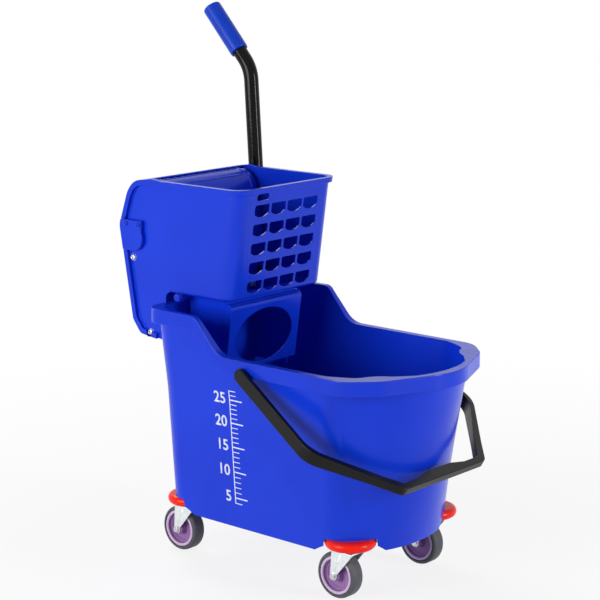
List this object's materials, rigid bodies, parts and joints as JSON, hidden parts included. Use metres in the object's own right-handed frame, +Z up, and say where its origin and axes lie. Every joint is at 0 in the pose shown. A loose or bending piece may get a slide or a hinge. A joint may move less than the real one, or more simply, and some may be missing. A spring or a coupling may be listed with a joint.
{
  "type": "mop bucket with wringer",
  "caption": "Wheeled mop bucket with a drooping carry handle, swivel casters and a lift-off side-press wringer worked by a long geared lever.",
  "frame": {"origin": "middle of the overall length and width, on the floor under the wheels", "axes": "+X towards the pouring end, +Y towards the lever side, +Z up"},
  "size_m": [0.645, 0.4094, 0.8931],
  "materials": {
    "blue_body": "satin gloss moulded plastic",
    "black_plastic": "fine satin",
    "black_paint": "gloss black powder coat",
    "blue_grip": "soft satin",
    "red_rubber": "satin",
    "fork_plate": "bright zinc plate",
    "steel": "zinc plate",
    "core_plastic": "satin",
    "tyre_rubber": "matte",
    "white_gear": "satin"
  },
  "bodies": {
    "bucket": {"bucket": "blue_body", "bumper_rear_left": "red_rubber", "bumper_rear_right": "red_rubber", "bumper_front_left": "red_rubber", "bumper_front_right": "red_rubber", "caster_stem_rear_left": "steel", "caster_stem_rear_right": "steel", "caster_stem_front_left": "steel", "caster_stem_front_right": "steel"},
    "wringer": {"bearing_cap_left": "blue_body", "bearing_cap_right": "blue_body", "cap_screw_front_left": "steel", "cap_screw_front_right": "steel", "cap_screw_rear_left": "steel", "cap_screw_rear_right": "steel", "cover_bolt_lower_left": "steel", "cover_bolt_lower_right": "steel", "cover_bolt_upper_left": "steel", "cover_bolt_upper_right": "steel", "plate_hinge_pin": "steel", "plate_pin_clip": "steel", "rear_cover": "blue_body", "return_spring": "steel", "shaft_bush_left": "black_plastic", "shaft_bush_right": "black_plastic", "wringer_housing": "blue_body"},
    "press_plate": {"plate_sector_left": "white_gear", "plate_sector_right": "white_gear", "press_plate": "blue_body", "sector_screw_left": "steel", "sector_screw_right": "steel"},
    "lever": {"drive_gear_left": "white_gear", "drive_gear_right": "white_gear", "drive_shaft": "steel", "hub_screw": "steel", "lever_grip": "blue_grip", "lever_socket": "black_paint", "lever_tube": "black_paint", "tube_bolt": "steel"},
    "bail": {"bail_handle": "black_plastic"},
    "fork_rear_left": {"caster_fork_rear_left": "fork_plate", "axle_bolt_rear_left": "steel", "axle_nut_rear_left": "steel"},
    "wheel_rear_left": {"wheel_core_rear_left": "core_plastic", "tyre_rear_left": "tyre_rubber"},
    "fork_rear_right": {"caster_fork_rear_right": "fork_plate", "axle_bolt_rear_right": "steel", "axle_nut_rear_right": "steel"},
    "wheel_rear_right": {"wheel_core_rear_right": "core_plastic", "tyre_rear_right": "tyre_rubber"},
    "fork_front_left": {"caster_fork_front_left": "fork_plate", "axle_bolt_front_left": "steel", "axle_nut_front_left": "steel"},
    "wheel_front_left": {"wheel_core_front_left": "core_plastic", "tyre_front_left": "tyre_rubber"},
    "fork_front_right": {"caster_fork_front_right": "fork_plate", "axle_bolt_front_right": "steel", "axle_nut_front_right": "steel"},
    "wheel_front_right": {"wheel_core_front_right": "core_plastic", "tyre_front_right": "tyre_rubber"}
  },
  "joints": [
    {"name": "wringer_lift", "type": "slide", "parent": "bucket", "child": "wringer", "axis": [0, 0, 1], "range_m": [0, 0.25]},
    {"name": "lever_turn", "type": "hinge", "parent": "wringer", "child": "lever", "pos_m": [-0.248, 0, 0.52102], "axis": [0, -1, 0], "range_deg": [0, 88], "stiffness_Nm_per_rad": 1.5, "springref_deg": -29.79},
    {"name": "plate_press", "type": "hinge", "parent": "wringer", "child": "press_plate", "pos_m": [-0.157, 0, 0.431], "axis": [0, 1, 0], "range_deg": [0, 40.5]},
    {"name": "bail_swing", "type": "hinge", "parent": "bucket", "child": "bail", "pos_m": [0.039, 0, 0.344], "axis": [0, -1, 0], "range_deg": [0, 125]},
    {"name": "swivel_rear_left", "type": "hinge", "parent": "bucket", "child": "fork_rear_left", "pos_m": [-0.14, -0.1, 0.0795], "axis": [0, 0, 1], "continuous": true},
    {"name": "roll_rear_left", "type": "hinge", "parent": "fork_rear_left", "child": "wheel_rear_left", "pos_m": [-0.16, -0.1, 0.0375], "axis": [0, 1, 0], "continuous": true},
    {"name": "swivel_rear_right", "type": "hinge", "parent": "bucket", "child": "fork_rear_right", "pos_m": [-0.14, 0.1, 0.0795], "axis": [0, 0, 1], "continuous": true},
    {"name": "roll_rear_right", "type": "hinge", "parent": "fork_rear_right", "child": "wheel_rear_right", "pos_m": [-0.16, 0.1, 0.0375], "axis": [0, 1, 0], "continuous": true},
    {"name": "swivel_front_left", "type": "hinge", "parent": "bucket", "child": "fork_front_left", "pos_m": [0.203, -0.104, 0.0795], "axis": [0, 0, 1], "continuous": true},
    {"name": "roll_front_left", "type": "hinge", "parent": "fork_front_left", "child": "wheel_front_left", "pos_m": [0.183, -0.104, 0.0375], "axis": [0, 1, 0], "continuous": true},
    {"name": "swivel_front_right", "type": "hinge", "parent": "bucket", "child": "fork_front_right", "pos_m": [0.203, 0.104, 0.0795], "axis": [0, 0, 1], "continuous": true},
    {"name": "roll_front_right", "type": "hinge", "parent": "fork_front_right", "child": "wheel_front_right", "pos_m": [0.183, 0.104, 0.0375], "axis": [0, 1, 0], "continuous": true}
  ],
  "couplings": [
    {"joint": "plate_press", "follows": "lever_turn", "ratio": 0.45455}
  ]
}
